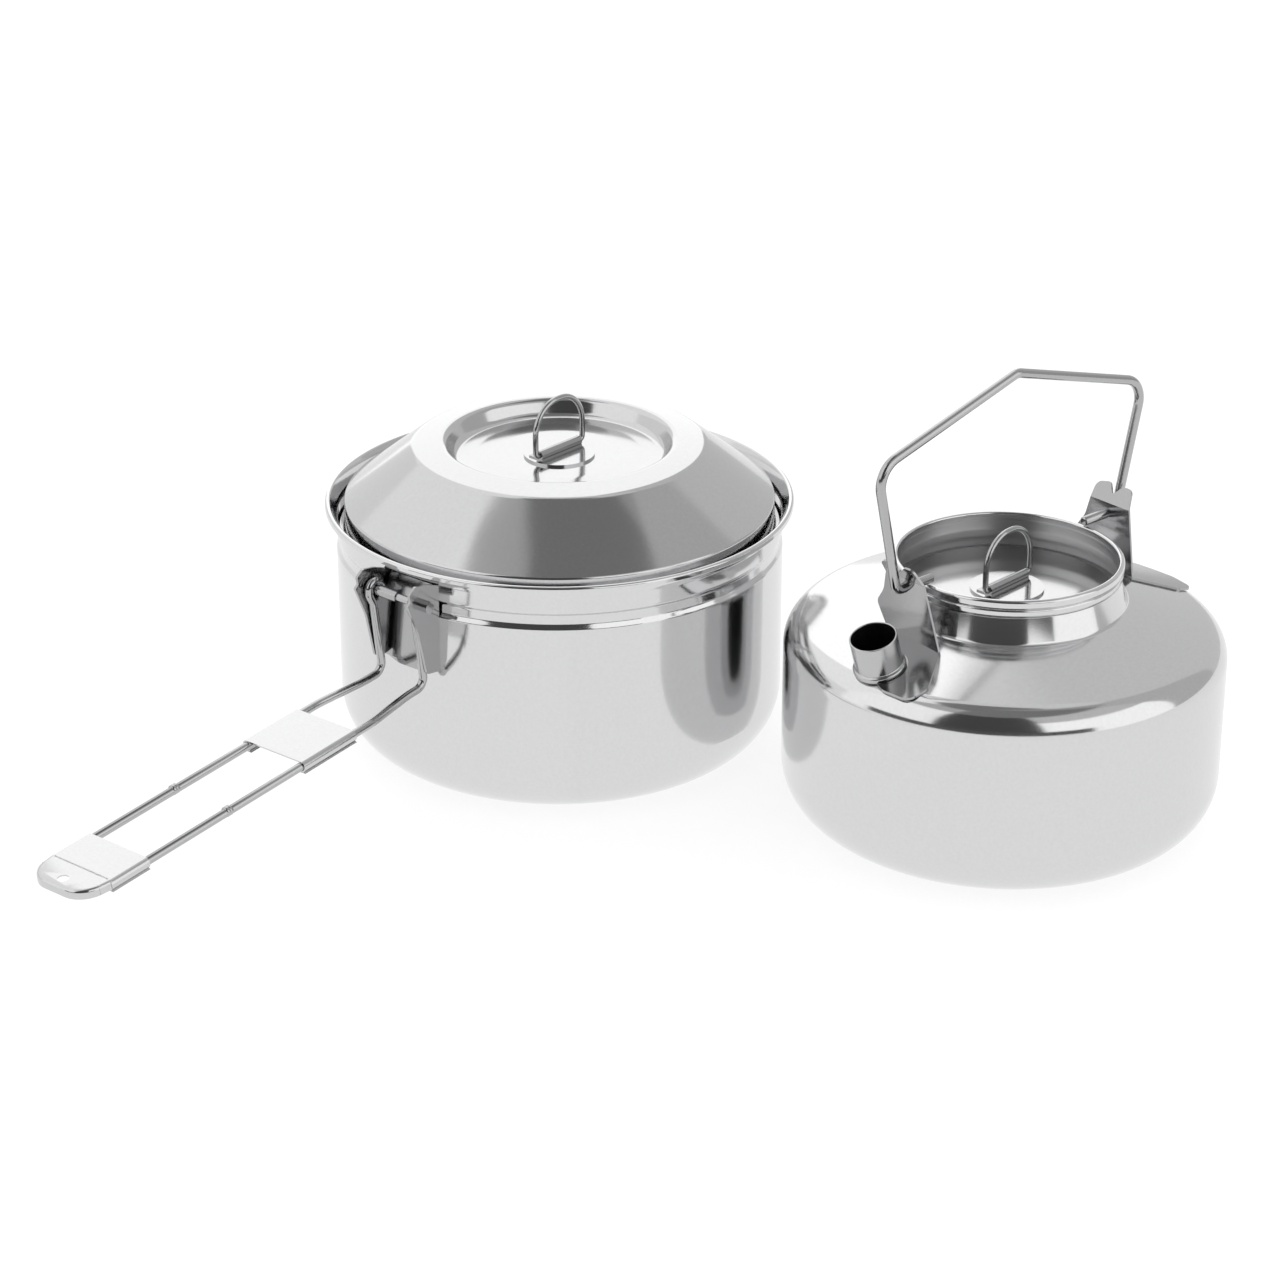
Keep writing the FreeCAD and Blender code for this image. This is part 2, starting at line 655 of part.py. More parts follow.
def make_kettle():
    """A kettle body: rounded base, sloping shoulder, neck with bead and rolled rim, lid ledge."""
    corners = [
        ("0", "0"),
        ("kettle_radius", "0", "kettle_corner"),
        ("kettle_radius", SHOULDER_EDGE, "shoulder_round"),
        ("neck_foot", NECK_FOOT, "neck_foot_round"),
        ("neck_radius", "neck_bead_low", "4"),
        ("neck_radius", "neck_top - neck_roll"),
    ]
    shell = spun_sheet("kettle_shell", corners, "kettle_wall")
    inside = "neck_radius - kettle_wall / 2"
    bead = ring(
        "neck_bead_ring",
        [
            (inside, "neck_bead_low"),
            ("neck_radius + neck_bead", "neck_bead_low", "neck_roll"),
            ("neck_radius + neck_bead", "neck_rim_low + 0.3", "neck_roll"),
            (inside, "neck_rim_low + 0.3"),
        ],
    )
    rim = ring(
        "neck_rim_ring",
        [
            ("neck_radius - 0.8", "neck_rim_low", "0.5"),
            ("neck_radius + neck_rim", "neck_rim_low", "neck_roll"),
            ("neck_radius + neck_rim", "neck_top", "neck_roll"),
            ("neck_radius - 0.8", "neck_top", "0.8"),
        ],
    )
    ledge = ring(
        "ledge",
        [
            ("seat_radius", "seat_height"),
            ("seat_radius", "seat_height - kettle_wall"),
            ("neck_foot - 1.1", "seat_height - kettle_wall"),
            ("neck_foot - 1.1", "seat_height"),
        ],
    )
    sheets = fused([shell, bead, rim, ledge], "kettle_sheets")
    return node(cut(sheets, spout_hole("spout_opening"), "kettle"), "kettle_body", KETTLE)


def make_spout():
    """The short straight spout with a bead at its foot."""
    corners = [
        ("spout_radius - spout_wall", "-spout_under"),
        ("spout_radius", "-spout_under"),
        ("spout_radius", "0.3"),
        ("spout_radius + spout_bead", "0.3", "0.3"),
        ("spout_radius + spout_bead", "spout_bead_at - 0.6", "0.6"),
        ("spout_radius", "spout_bead_at", "0.4"),
        ("spout_radius", "spout_long", "0.25"),
        ("spout_radius - spout_wall", "spout_long", "0.25"),
    ]
    return node(turned("spout", corners), "kettle_spout", KETTLE * SPOUT)


def shoulder_slab(name, low, high):
    """A ring that lies on the shoulder cone, between two offsets above it."""
    corners = [
        ("30", f"cone_height + cone_slope * (cone_radius - 30) + {low}"),
        ("74", f"cone_height + cone_slope * (cone_radius - 74) + {low}"),
        ("74", f"cone_height + cone_slope * (cone_radius - 74) + {high}"),
        ("30", f"cone_height + cone_slope * (cone_radius - 30) + {high}"),
    ]
    return spun(outline(sketch_on(UPRIGHT, name + "_section"), corners), name)


EAR = Placement(
    Vector(SIZE["ear_out"], 0, SIZE["ear_low"]),
    Rotation(Vector(0, 0, 1), 90) * Rotation(Vector(1, 0, 0), 90 + SIZE["ear_lean"]),
)
FLAP = Placement(
    EAR.multVec(Vector(0, SIZE["ear_tall"], 0)),
    Rotation(Vector(0, 0, 1), 90) * Rotation(Vector(1, 0, 0), 90 + SIZE["flap_lean"]),
)


def ear_blank(tag):
    """A bail bracket on the far side: upright with a pin hole, notched flap and a foot on the shoulder."""
    upright = [
        ("-15.4", "-4"),
        ("-15.1", "0"),
        ("ear_right", "ear_tall"),
        ("ear_left", "ear_tall"),
        ("ear_left + 1.5", "16", "8"),
        ("ear_left + 5.2", "10.4", "3"),
        ("ear_left + 0.2", "0"),
        ("ear_left - 0.3", "-4"),
    ]
    upright = outline(sketch_on(EAR, tag + "_upright_outline"), upright)
    upright = extruded(upright, EAR.Rotation.multVec(Vector(0, 0, 1)), "ear_sheet", tag + "_upright")
    flap = [
        ("ear_right", "-0.2"),
        ("ear_right + 2.1", "flap_tall", "2.4"),
        ("-3.2", "flap_tall - 0.5", "2"),
        ("-0.2", "3", "0.8"),
        ("2.6", "flap_tall", "1.4"),
        ("ear_left", "flap_tall - 1.4", "3"),
        ("ear_left", "-0.2"),
    ]
    flap = outline(sketch_on(FLAP, tag + "_flap_outline"), flap)
    flap = extruded(flap, FLAP.Rotation.multVec(Vector(0, 0, 1)), "ear_sheet", tag + "_flap")
    foot = [
        ("ear_out", "ear_left"),
        ("ear_out", "-15.1"),
        ("62.5", "-24.4", "3"),
        ("70.4", "-23.6", "4.5"),
        ("71.8", "-13", "6"),
        ("67.5", "3", "5"),
    ]
    foot = outline(sketch_on(LEVEL, tag + "_foot_outline"), foot)
    foot = extruded(foot, Vector(0, 0, 1), "120", tag + "_foot_block")
    foot = common([foot, shoulder_slab(tag + "_foot_slab", "0", "ear_sheet")], tag + "_foot")
    hole = along_x(tag + "_pin_hole", "bail_radius + running_gap", "ear_out - 5", "20", "0", "bail_height")
    under = shoulder_slab(tag + "_under", "-20", "0")
    sheets = fused([upright, flap, foot], tag + "_sheets")
    return cut(sheets, fused([hole, under], tag + "_tools"), tag + "_ear")


def make_ears():
    """The two bail brackets are mirror images; the near foot leaves room for the spout."""
    node(ear_blank("far"), "bail_bracket_far", KETTLE)
    mirrored = feature("Part::Mirroring", "near_ear_mirrored", Source=ear_blank("near"))
    mirrored.Normal = Vector(1, 0, 0)
    room = feature("Part::Cylinder", "spout_room", Height=40)
    bind(room, "Radius", "spout_room")
    room.Placement = SPOUT * Placement(Vector(0, 0, -12), Rotation())
    node(cut(mirrored, room, "near_ear_cut"), "bail_bracket_near", KETTLE)


def make_bail():
    """The bail: one bent wire whose ends point inward as pins."""
    corners = [
        ("-bail_pin_end", "bail_height"),
        ("-bail_foot", "bail_height", "3"),
        ("-bail_side", "bail_side_height", "9"),
        ("0", "bail_peak", "6"),
        ("bail_side", "bail_side_height", "9"),
        ("bail_foot", "bail_height", "3"),
        ("bail_pin_end", "bail_height"),
    ]
    path = outline(sketch_on(UPRIGHT, "bail_path"), corners, closed=False)
    start = Vector(value("-bail_pin_end"), 0, value("bail_height"))
    node(drawn_wire(path, start, Vector(-1, 0, 0), "bail_radius", "bail_wire"), "kettle_bail", KETTLE)


# ---------------------------------------------------------------- build

make_pot()
make_bracket()
make_pin()
make_spacer()
make_wire("handle_wire_left", 1)
make_wire("handle_wire_right", -1)
make_slider()
make_grip()
make_pot_lid()
make_ring("pot_lid", POT_LID, SIZE["lid_floor"])
make_kettle()
make_spout()
make_ears()
make_bail()
make_kettle_lid()
make_ring("kettle_lid", KETTLE_LID, SIZE["kettle_lid_top"])

doc.recompute()
os.makedirs("parts", exist_ok=True)
for obj in doc.Objects:
    if {"Invalid", "Error"} & set(obj.State):
        raise RuntimeError(f"{obj.Label} did not build: {obj.State}")
for obj in NODES:
    shape = obj.Shape
    if shape.isNull() or not shape.isValid() or len(shape.Solids) != 1:
        raise RuntimeError(f"{obj.Label} is not one good solid")
    shape.exportStep(f"parts/{obj.Label}.step")
    box = shape.BoundBox
    print(
        f"{obj.Label:22s} {shape.Volume:10.1f} mm3  x {box.XMin:8.2f} {box.XMax:8.2f}  "
        f"y {box.YMin:8.2f} {box.YMax:8.2f}  z {box.ZMin:7.2f} {box.ZMax:7.2f}"
    )
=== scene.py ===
"""Looks for the camping cook pot set: polished stainless pot, lid, folding handle and kettle.

Lengths are millimetres in the row frame until a mesh is made; Blender's objects are in metres.
"""

import json
import math

import bmesh
import bpy
from mathutils import Matrix, Vector


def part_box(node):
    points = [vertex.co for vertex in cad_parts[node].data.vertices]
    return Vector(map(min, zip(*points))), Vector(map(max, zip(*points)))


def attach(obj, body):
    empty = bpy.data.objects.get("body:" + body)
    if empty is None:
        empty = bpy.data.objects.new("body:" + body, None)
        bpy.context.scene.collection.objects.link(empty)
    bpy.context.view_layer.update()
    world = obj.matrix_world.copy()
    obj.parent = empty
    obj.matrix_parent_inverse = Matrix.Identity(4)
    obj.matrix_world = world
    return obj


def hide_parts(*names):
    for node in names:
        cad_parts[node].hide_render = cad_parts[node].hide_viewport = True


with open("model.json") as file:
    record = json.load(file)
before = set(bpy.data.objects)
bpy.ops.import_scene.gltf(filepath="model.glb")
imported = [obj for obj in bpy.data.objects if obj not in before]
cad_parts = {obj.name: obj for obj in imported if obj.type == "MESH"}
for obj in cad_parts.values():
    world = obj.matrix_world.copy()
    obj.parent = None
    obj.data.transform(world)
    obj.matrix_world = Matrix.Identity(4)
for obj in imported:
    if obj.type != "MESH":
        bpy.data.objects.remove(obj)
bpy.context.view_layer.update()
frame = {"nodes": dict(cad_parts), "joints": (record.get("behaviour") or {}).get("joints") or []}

MM = 0.001


# ---------------------------------------------------------------- outlines and placements

def rounded(corners, closed=False, step=6.0):
    """Points through (x, y) or (x, y, radius) corners, with an arc at each corner that has a radius."""
    points = []
    count = len(corners)
    for i, corner in enumerate(corners):
        spot = Vector(corner[:2])
        radius = corner[2] if len(corner) > 2 else 0
        if not radius or (not closed and i in (0, count - 1)):
            points.append(spot)
            continue
        back = (Vector(corners[i - 1][:2]) - spot).normalized()
        ahead = (Vector(corners[(i + 1) % count][:2]) - spot).normalized()
        half = back.angle(ahead) / 2
        centre = spot + (back + ahead).normalized() * (radius / math.sin(half))
        first = spot + back * (radius / math.tan(half)) - centre
        turn = math.pi - 2 * half
        if back.x * ahead.y - back.y * ahead.x > 0:
            turn = -turn
        pieces = max(2, math.ceil(abs(math.degrees(turn)) / step))
        for k in range(pieces + 1):
            a = turn * k / pieces
            points.append(centre + Matrix.Rotation(a, 2) @ first)
    return points


def beside(points, distance):
    """The outline moved sideways to its left by a distance."""
    moved = []
    for i, p in enumerate(points):
        before = (p - points[i - 1]).normalized() if i else None
        after = (points[i + 1] - p).normalized() if i + 1 < len(points) else None
        before, after = before or after, after or before
        side = Vector((-before.y - after.y, before.x + after.x)).normalized()
        stretch = max(0.3, side.dot(Vector((-after.y, after.x))))
        moved.append(p + side * (distance / stretch))
    return moved


def sheet_section(corners, thickness, step=6.0):
    """The closed section of a sheet whose one face follows the corners."""
    points = rounded(corners, step=step)
    return points + beside(points, thickness)[::-1]


def turn_z(degrees):
    return Matrix.Rotation(math.radians(degrees), 4, "Z")


def turn_y(degrees):
    return Matrix.Rotation(math.radians(degrees), 4, "Y")


def middle(node):
    low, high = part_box(node)
    return (low + high) / 2 / MM


JOINTS = {joint["name"]: joint for joint in frame["joints"]}


def bearing(joint):
    """The heading of a hinge's axis, in degrees about Z."""
    axis = JOINTS[joint]["axis"]
    return math.degrees(math.atan2(axis[1], axis[0]))


KETTLE_AT = middle("kettle_body")
KETTLE = Matrix.Translation((KETTLE_AT.x, KETTLE_AT.y, 0)) @ turn_z(bearing("bail_swing"))
POT_LID = turn_z(bearing("pot_lid_ring_fold"))
KETTLE_LID = Matrix.Translation((KETTLE_AT.x, KETTLE_AT.y, 0)) @ turn_z(bearing("kettle_lid_ring_fold"))
HINGE = Vector(JOINTS["handle_fold"]["pos_m"]) / MM
BAIL_HEIGHT = JOINTS["bail_swing"]["pos_m"][2] / MM

# ---------------------------------------------------------------- meshes


def shown(name, bm, body, replaces, material, sharp=35.0, place=None):
    """Turn mesh data in millimetres into a piece that rides on a body and stands for its CAD nodes."""
    if place is not None:
        bmesh.ops.transform(bm, matrix=place, verts=bm.verts)
    bmesh.ops.scale(bm, vec=(MM, MM, MM), verts=bm.verts)
    bmesh.ops.recalc_face_normals(bm, faces=bm.faces)
    mesh = bpy.data.meshes.new(name)
    bm.to_mesh(mesh)
    bm.free()
    mesh.shade_smooth()
    mesh.set_sharp_from_angle(angle=math.radians(sharp))
    piece = bpy.data.objects.new(name, mesh)
    bpy.context.scene.collection.objects.link(piece)
    mesh.materials.append(material)
    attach(piece, body)
    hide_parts(*replaces)
    return piece


FINE_TURN = 320


def lathe(section, segments=256):
    """A closed (radius, height) section turned once about Z."""
    bm = bmesh.new()
    rings = []
    for p in section:
        if p.x < 1e-4:
            rings.append([bm.verts.new((0, 0, p.y))] * segments)
            continue
        ring = []
        for k in range(segments):
            a = 2 * math.pi * k / segments
            ring.append(bm.verts.new((p.x * math.cos(a), p.x * math.sin(a), p.y)))
        rings.append(ring)
    for i, ring in enumerate(rings):
        other = rings[(i + 1) % len(rings)]
        for k in range(segments):
            n = (k + 1) % segments
            quad = list(dict.fromkeys((ring[k], ring[n], other[n], other[k])))
            if len(quad) > 2:
                bm.faces.new(quad)
    return bm


def wire(path, radius, closed=False, sides=24, bm=None):
    """A round wire along 3-D points; open ends are slightly domed."""
    bm = bm or bmesh.new()
    count = len(path)
    tangents = []
    for i, p in enumerate(path):
        before = path[i - 1] if i or closed else p
        after = path[(i + 1) % count] if i + 1 < count or closed else p
        tangents.append((after - before).normalized())
    side = tangents[0].orthogonal().normalized()
    rings = []
    for i, p in enumerate(path):
        side = (side - tangents[i] * side.dot(tangents[i])).normalized()
        other = tangents[i].cross(side)
        widths = [(radius, 0.0)]
        if not closed and i == 0:
            widths = [(radius * 0.6, -radius * 0.3), (radius * 0.88, -radius * 0.18), (radius, 0.0)]
        if not closed and i == count - 1:
            widths = [(radius, 0.0), (radius * 0.88, radius * 0.18), (radius * 0.6, radius * 0.3)]
        for width, ahead in widths:
            ring = []
            for k in range(sides):
                a = 2 * math.pi * k / sides
                spot = p + tangents[i] * ahead + (side * math.cos(a) + other * math.sin(a)) * width
                ring.append(bm.verts.new(spot))
            rings.append(ring)
    for i in range(len(rings) - (0 if closed else 1)):
        near, far = rings[i], rings[(i + 1) % len(rings)]
        shift = 0
        if closed and i == len(rings) - 1:
            shift = min(range(sides), key=lambda s: (far[s].co - near[0].co).length)
        for k in range(sides):
            n = (k + 1) % sides
            bm.faces.new((near[k], near[n], far[(n + shift) % sides], far[(k + shift) % sides]))
    if not closed:
        bm.faces.new(rings[0][::-1])
        bm.faces.new(rings[-1])
    return bm


def extrude(section, start, end, bm=None):
    """A closed (y, z) section carried along X."""
    bm = bm or bmesh.new()
    near = [bm.verts.new((start, p.x, p.y)) for p in section]
    far = [bm.verts.new((end, p.x, p.y)) for p in section]
    for k in range(len(section)):
        n = (k + 1) % len(section)
        bm.faces.new((near[k], near[n], far[n], far[k]))
    bm.faces.new(near[::-1])
    bm.faces.new(far)
    return bm


def soften(piece, width, segments=3):
    """Round the piece's edges a little, as on stamped sheet."""
    bevel = piece.modifiers.new("soft_edges", "BEVEL")
    bevel.width = width * MM
    bevel.segments = segments
    bevel.limit_method = "ANGLE"
    bevel.angle_limit = math.radians(40)
    bevel.harden_normals = True
    return piece


def drill(piece, radius, place):
    """Cut a round hole along the placement's Z axis; piece is already in the row frame."""
    bm = bmesh.new()
    bmesh.ops.create_cone(bm, cap_ends=True, segments=64, radius1=radius, radius2=radius, depth=16)
    bmesh.ops.transform(bm, matrix=place, verts=bm.verts)
    bmesh.ops.scale(bm, vec=(MM, MM, MM), verts=bm.verts)
    mesh = bpy.data.meshes.new("drill")
    bm.to_mesh(mesh)
    bm.free()
    tool = bpy.data.objects.new("drill", mesh)
    bpy.context.scene.collection.objects.link(tool)
    cut = piece.modifiers.new("drill", "BOOLEAN")
    cut.operation = "DIFFERENCE"
    cut.solver = "EXACT"
    cut.object = tool
    bpy.context.view_layer.update()
    depsgraph = bpy.context.evaluated_depsgraph_get()
    made = bpy.data.meshes.new_from_object(piece.evaluated_get(depsgraph))
    piece.modifiers.clear()
    piece.data = made
    bpy.data.objects.remove(tool)


# ---------------------------------------------------------------- materials


def steel(
    name, colour, rough, rough_spread=0.03, grain=(1, 1, 1), grain_scale=900.0, bump=0.02, tint=0.04
):
    """Stainless steel: a slightly uneven polish, and a fine grain in its colour and relief."""
    material = bpy.data.materials.new(name)
    material.use_nodes = True
    nodes = material.node_tree.nodes
    links = material.node_tree.links
    shader = nodes["Principled BSDF"]
    shader.inputs["Metallic"].default_value = 1.0
    place = nodes.new("ShaderNodeTexCoord")
    stretch = nodes.new("ShaderNodeMapping")
    stretch.inputs["Scale"].default_value = grain
    links.new(place.outputs["Object"], stretch.inputs["Vector"])

    fine = nodes.new("ShaderNodeTexNoise")
    fine.inputs["Scale"].default_value = grain_scale
    fine.inputs["Detail"].default_value = 3.0
    links.new(stretch.outputs["Vector"], fine.inputs["Vector"])
    broad = nodes.new("ShaderNodeTexNoise")
    broad.inputs["Scale"].default_value = 28.0
    broad.inputs["Detail"].default_value = 2.0
    links.new(place.outputs["Object"], broad.inputs["Vector"])

    polish = nodes.new("ShaderNodeMapRange")
    polish.inputs["From Min"].default_value = 0.3
    polish.inputs["From Max"].default_value = 0.7
    polish.inputs["To Min"].default_value = max(0.02, rough - rough_spread)
    polish.inputs["To Max"].default_value = rough + rough_spread
    links.new(broad.outputs["Fac"], polish.inputs["Value"])
    links.new(polish.outputs["Result"], shader.inputs["Roughness"])

    shade = nodes.new("ShaderNodeMapRange")
    shade.inputs["From Min"].default_value = 0.3
    shade.inputs["From Max"].default_value = 0.7
    shade.inputs["To Min"].default_value = 1.0 - tint
    shade.inputs["To Max"].default_value = 1.0
    links.new(fine.outputs["Fac"], shade.inputs["Value"])
    mix = nodes.new("ShaderNodeVectorMath")
    mix.operation = "SCALE"
    mix.inputs[0].default_value = colour
    links.new(shade.outputs["Result"], mix.inputs["Scale"])
    links.new(mix.outputs["Vector"], shader.inputs["Base Color"])

    relief = nodes.new("ShaderNodeBump")
    relief.inputs["Strength"].default_value = bump
    relief.inputs["Distance"].default_value = 0.0002
    links.new(fine.outputs["Fac"], relief.inputs["Height"])
    links.new(relief.outputs["Normal"], shader.inputs["Normal"])
    return material


POLISHED = steel("polished_steel", (0.70, 0.70, 0.705), 0.09, 0.015, bump=0.008)
LID_STEEL = steel("lid_steel", (0.62, 0.62, 0.625), 0.125, 0.02, bump=0.01)
GRIP_STEEL = steel("grip_steel", (0.63, 0.63, 0.635), 0.12, 0.02, bump=0.01)
KETTLE_STEEL = steel("kettle_steel", (0.70, 0.70, 0.705), 0.125, 0.02, bump=0.008)
WIRE_STEEL = steel("wire_steel", (0.47, 0.47, 0.475), 0.12, 0.03, grain_scale=1400.0, bump=0.04)
STAMPED = steel("stamped_steel", (0.43, 0.43, 0.435), 0.15, 0.04, grain_scale=1200.0, bump=0.04)
BRUSHED = steel(
    "brushed_steel", (0.52, 0.52, 0.525), 0.2, 0.04, grain=(1, 1, 14), grain_scale=420.0, bump=0.12
)
INSIDE = steel(
    "inside_steel", (0.54, 0.54, 0.545), 0.36, 0.04, grain=(1, 1, 8), grain_scale=500.0, bump=0.05
)

# ---------------------------------------------------------------- pot and lid

SHEET = 0.6
LID_SHEET = 0.5


def make_pot():
    wall = 80.5
    rolled_in = wall - 1.0
    section = sheet_section(
        [
            (0, 0),
            (wall, 0, 20.5),
            (wall, 74.8, 1.5),
            (rolled_in, 76.4, 1.5),
            (rolled_in, 79.6, 1.5),
            (wall, 81.2, 1.5),
            (wall, 87.4, 4),
            (83.7, 92.72, 0.4),
            (83.7, 90.2),
        ],
        SHEET,
        step=4,
    )
    shown("pot_shell", lathe(section, FINE_TURN), "pot", ["pot_body"], POLISHED)


def make_pot_lid():
    section = sheet_section(
        [
            (0, 107.5),
            (23, 107.5, 40),
            (31, 107.05, 14),
            (37.6, 107.5, 3.5),
            (41.0, 113.9, 3.0),
            (52.5, 112.1, 5.0),
            (77.4, 92.5, 1.3),
            (77.4, 81.8, 0.9),
            (79.3, 81.8),
        ],
        -LID_SHEET,
        step=4,
    )
    dome = lathe(section, FINE_TURN)
    shown("pot_lid_dome", dome, "pot_cover", ["pot_lid"], LID_STEEL, place=POT_LID)


RING_RISE = 1.65
RING_WIRE = 1.0


def make_ring(prefix, body, place):
    """The D-ring over a lid: one closed wire with a round top."""
    plate_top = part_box(prefix + "_ring_plate")[1].z / MM
    pivot = plate_top + RING_RISE
    high = pivot + 19.0
    half = 12.2
    corners = [
        (0, pivot),
        (half, pivot, 1.6),
        (half, high, half - 0.6),
        (-half, high, half - 0.6),
        (-half, pivot, 1.6),
    ]
    path = [Vector((p.x, 0, p.y)) for p in rounded(corners, closed=True)]
    ring = wire(path, RING_WIRE, closed=True)
    node = prefix + "_ring"
    shown(prefix + "_d_ring", ring, body + "_ring", [node], WIRE_STEEL, place=place)


# ---------------------------------------------------------------- pot handle

ARM_DROP = math.degrees(math.asin(-JOINTS["slider_slide"]["axis"][2]))
ELBOW = Vector((-84.9, 0, 50.1))
ARM = Matrix.Translation(ELBOW) @ turn_z(180) @ turn_y(ARM_DROP)
LEG_SPREAD = 9.8
ARM_SPREAD = 12.4
WIRE = 1.5
PIN = 1.4
RUNNING_GAP = 0.05
ARM_START = 6


def make_handle_wire(name, side):
    """An eye round the pin, a leg down to the elbow, and the arm out to the grip."""
    reach = PIN + RUNNING_GAP + WIRE
    drop = math.radians(ARM_DROP)
    leg = rounded(
        [
            (HINGE.x + 0.4, HINGE.z - reach),
            (HINGE.x + reach, HINGE.z - reach, reach - RUNNING_GAP),
            (HINGE.x + reach, HINGE.z + reach, reach - RUNNING_GAP),
            (HINGE.x - reach, HINGE.z + reach, reach - RUNNING_GAP),
            (HINGE.x - reach, HINGE.z - 1.6, 3),
            (HINGE.x - 1.1, HINGE.z - 5, 3),
            (ELBOW.x, ELBOW.z, 4),
            (ELBOW.x - ARM_START * math.cos(drop), ELBOW.z - ARM_START * math.sin(drop)),
        ]
    )
    path = [Vector((p.x, side * LEG_SPREAD, p.y)) for p in leg]
    turn = -side
    arm = rounded(
        [
            (ARM_START, turn * LEG_SPREAD),
            (9, turn * LEG_SPREAD, 40),
            (30, turn * ARM_SPREAD, 40),
            (152.6, turn * ARM_SPREAD),
        ]
    )
    path += [ARM @ Vector((p.x, p.y, 0)) for p in arm[1:]]
    bm = wire(path, WIRE)
    for along in (98.9, 99.9):
        start = ARM @ Vector((along - 0.5, turn * ARM_SPREAD, 0.25))
        end = ARM @ Vector((along + 0.5, turn * ARM_SPREAD, 0.25))
        wire([start, end], WIRE + 0.3, bm=bm)
    shown(name + "_bent", bm, "pot_handle", [name], WIRE_STEEL)


def sleeve_section(inner):
    """A sheet whose edges are rolled under and round both wires; its middle is flat on top."""
    reach = inner + 0.5
    far = ARM_SPREAD + reach
    near = ARM_SPREAD - inner + 0.35
    low = -reach
    return sheet_section(
        [
            (near, -0.6),
            (near, low, reach - 0.6),
            (far, low, reach - 0.1),
            (far, reach, reach - 0.1),
            (-far, reach, reach - 0.1),
            (-far, low, reach - 0.1),
            (-near, low, reach - 0.6),
            (-near, -0.6),
        ],
        0.5,
        step=10,
    )


def make_slider():
    bm = extrude(sleeve_section(WIRE + 0.08), 39.5, 64.9)
    piece = shown("slider_sheet", bm, "slider", ["lock_slider"], GRIP_STEEL, place=ARM)
    soften(piece, 0.12)


def make_grip():
    bm = extrude(sleeve_section(WIRE + 0.02), 136.5, 153.1)
    piece = shown("grip_sleeves", bm, "pot_handle", ["handle_grip"], GRIP_STEEL, place=ARM)
    soften(piece, 0.12)

    top = WIRE + 0.52
    tip = 164.8
    half = 12.9
    rings = []
    bm = bmesh.new()
    for inset, drop in ((1.5, 0), (0.75, 0.12), (0.3, 0.42), (0.07, 0.95), (0, 1.6), (0, 3.2)):
        outline = rounded(
            [
                (152.4, inset - half - 1.2),
                (157.0, inset - half - 0.6, 20),
                (tip - inset, inset - half, 9 - inset),
                (tip - inset, half - inset, 9 - inset),
                (157.0, half + 0.6 - inset, 20),
                (152.4, half + 1.2 - inset),
            ]
        )
        rings.append([bm.verts.new((p.x, p.y, top - drop)) for p in outline])
    for upper, lower in zip(rings, rings[1:]):
        for k in range(len(upper) - 1):
            bm.faces.new((upper[k], lower[k], lower[k + 1], upper[k + 1]))
    bm.faces.new(rings[0])
    nose = shown("grip_nose", bm, "pot_handle", ["handle_grip"], GRIP_STEEL, place=ARM)
    thick = nose.modifiers.new("sheet", "SOLIDIFY")
    thick.thickness = 0.5 * MM
    thick.offset = -1
    drill(nose, 2.0, ARM @ Matrix.Translation((160.6, 0, 0)))
    soften(nose, 0.1, 2)


# ---------------------------------------------------------------- kettle


SHOULDER_SLOPE = 0.313
SPOUT_HOLE = 7.8


def shoulder(radius):
    """Height of the kettle's sloping shoulder at a radius."""
    return 80.4 + SHOULDER_SLOPE * (45 - radius)


def spout_place():
    """The spout's foot on the shoulder, with Z along the spout."""
    reach = 63.7
    heading = 182.9
    foot = turn_z(heading) @ Matrix.Translation((reach, 0, shoulder(reach)))
    return KETTLE @ foot @ turn_y(math.degrees(math.atan(SHOULDER_SLOPE)))


def make_kettle():
    wall = 76.45
    neck = 38.5
    foot = 41.6
    top = 96.8
    bead_low = 90.5
    inner_zone = (70, 95.5)

    body = [
        (0, 0),
        (wall, 0, 20.5),
        (wall, shoulder(wall), 11),
        (foot, shoulder(foot), 2.0),
        (neck, bead_low, 4),
    ]
    bead_and_rim = [
        (neck + 0.9, bead_low, 0.9),
        (neck + 0.9, 93.2, 0.9),
        (neck + 0.3, 93.4, 0.1),
        (neck + 1.2, 93.6, 0.9),
        (neck + 1.2, top, 1.1),
        (neck - 0.8, top, 0.8),
        (neck - 0.8, 94.6, 0.5),
        (neck - SHEET, 93.9),
    ]
    outside = rounded(body[:-1] + [(neck, bead_low, 0.3)] + bead_and_rim, step=4)
    inside = beside(rounded(body + [(neck, 93.6)], step=4), SHEET)
    section = outside + inside[::-1]
    bm = lathe(section, FINE_TURN)
    shell = shown(
        "kettle_shell", bm, "kettle", ["kettle_body"], KETTLE_STEEL, place=KETTLE
    )
    shell.data.materials.append(INSIDE)
    for face in shell.data.polygons:
        inward = (face.center / MM - KETTLE_AT).xy.dot(face.normal.xy) < 0
        if inward and inner_zone[0] < face.center.z / MM < inner_zone[1]:
            face.material_index = 1
    drill(shell, SPOUT_HOLE, spout_place())

    ledge = [(34.6, 83.0), (foot - 1.1, 83.0), (foot - 1.1, 83.6), (34.6, 83.6, 0.25)]
    bm = lathe(rounded(ledge, closed=True), 256)
    shown("kettle_lid_ledge", bm, "kettle", ["kettle_body"], INSIDE, place=KETTLE)


BAIL_WIRE = 1.7


